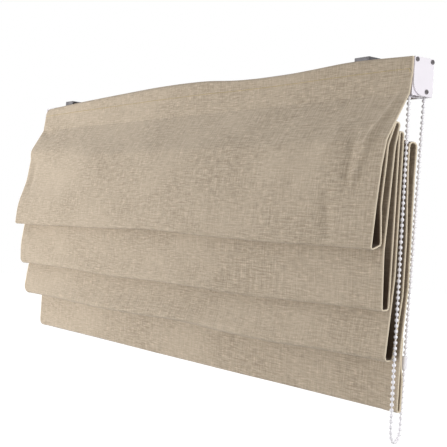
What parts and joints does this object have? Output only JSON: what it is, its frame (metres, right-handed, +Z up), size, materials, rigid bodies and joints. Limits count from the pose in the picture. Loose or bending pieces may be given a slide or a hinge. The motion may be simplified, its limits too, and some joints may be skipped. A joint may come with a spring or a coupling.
{
  "type": "roman blind",
  "caption": "Roman blind drawn up into soft folds, linen panel on an aluminium headrail with a side bead-chain drive and turn-lever ceiling brackets.",
  "frame": {"origin": "centre of the blind's width and of the headrail's depth, on the brackets' top face, which meets the ceiling", "axes": "+X along the headrail to the chain end, +Y towards the wall, +Z up out of the ceiling mounting face"},
  "size_m": [0.9029, 0.0771, 0.4288],
  "materials": {
    "rail_paint": "satin white powder coat",
    "white_plastic": "smooth moulded white",
    "tape": "matte woven tape",
    "screw_steel": "dull plated",
    "grey_plastic": "matte moulded grey",
    "steel": "plain",
    "cord": "braided cord",
    "rod": "drawn glass fibre",
    "lining": "plain woven tape",
    "ring_plastic": "translucent moulded",
    "ring_steel": "dark plated",
    "linen": "natural beige linen weave",
    "aluminium": "mill finish",
    "bracket_steel": "dark zinc plate",
    "lever_plastic": "milky moulded",
    "chain_white": "smooth moulded white"
  },
  "bodies": {
    "blind": {"headrail": "rail_paint", "left_end_cap": "white_plastic", "drive_housing": "white_plastic", "side_plate": "white_plastic", "cover_plate": "white_plastic", "hook_tape": "tape", "loop_tape": "tape", "cover_screws": "screw_steel", "clutch_core": "grey_plastic", "spool_cradle_left": "white_plastic", "lift_cord_left": "cord", "spool_cradle_middle": "white_plastic", "lift_cord_middle": "cord", "spool_cradle_right": "white_plastic", "lift_cord_right": "cord", "rod_upper": "rod", "pocket_tape_upper": "lining", "cord_rings_upper": "ring_plastic", "rod_middle": "rod", "pocket_tape_middle": "lining", "cord_rings_middle": "ring_plastic", "rod_lower": "rod", "pocket_tape_lower": "lining", "cord_rings_lower": "ring_plastic", "ring_tabs_upper": "lining", "ring_tabs_middle": "lining", "end_rings": "ring_steel", "fabric": "linen", "bottom_bar": "aluminium", "bracket_left": "bracket_steel", "bracket_right": "bracket_steel", "chain": "chain_white", "chain_joiner": "chain_white"},
    "drive": {"chain_wheel": "white_plastic", "brake_spring": "steel", "output_hub": "grey_plastic", "drive_shaft": "steel", "shaft_bush": "grey_plastic", "spool_left": "white_plastic", "spool_middle": "white_plastic", "spool_right": "white_plastic", "cord_winding_left": "cord", "cord_winding_middle": "cord", "cord_winding_right": "cord"},
    "left_lock": {"lever_left": "lever_plastic", "cam_left": "steel"},
    "right_lock": {"lever_right": "lever_plastic", "cam_right": "steel"}
  },
  "joints": [
    {"name": "drive_spin", "type": "hinge", "parent": "blind", "child": "drive", "pos_m": [0.441, 0, -0.028], "axis": [1, 0, 0], "continuous": true},
    {"name": "bracket_lever_left", "type": "hinge", "parent": "blind", "child": "left_lock", "pos_m": [-0.361, 0, -0.004], "axis": [0, 0, 1], "range_deg": [0, 90]},
    {"name": "bracket_lever_right", "type": "hinge", "parent": "blind", "child": "right_lock", "pos_m": [0.361, 0, -0.004], "axis": [0, 0, 1], "range_deg": [-90, 0]}
  ]
}
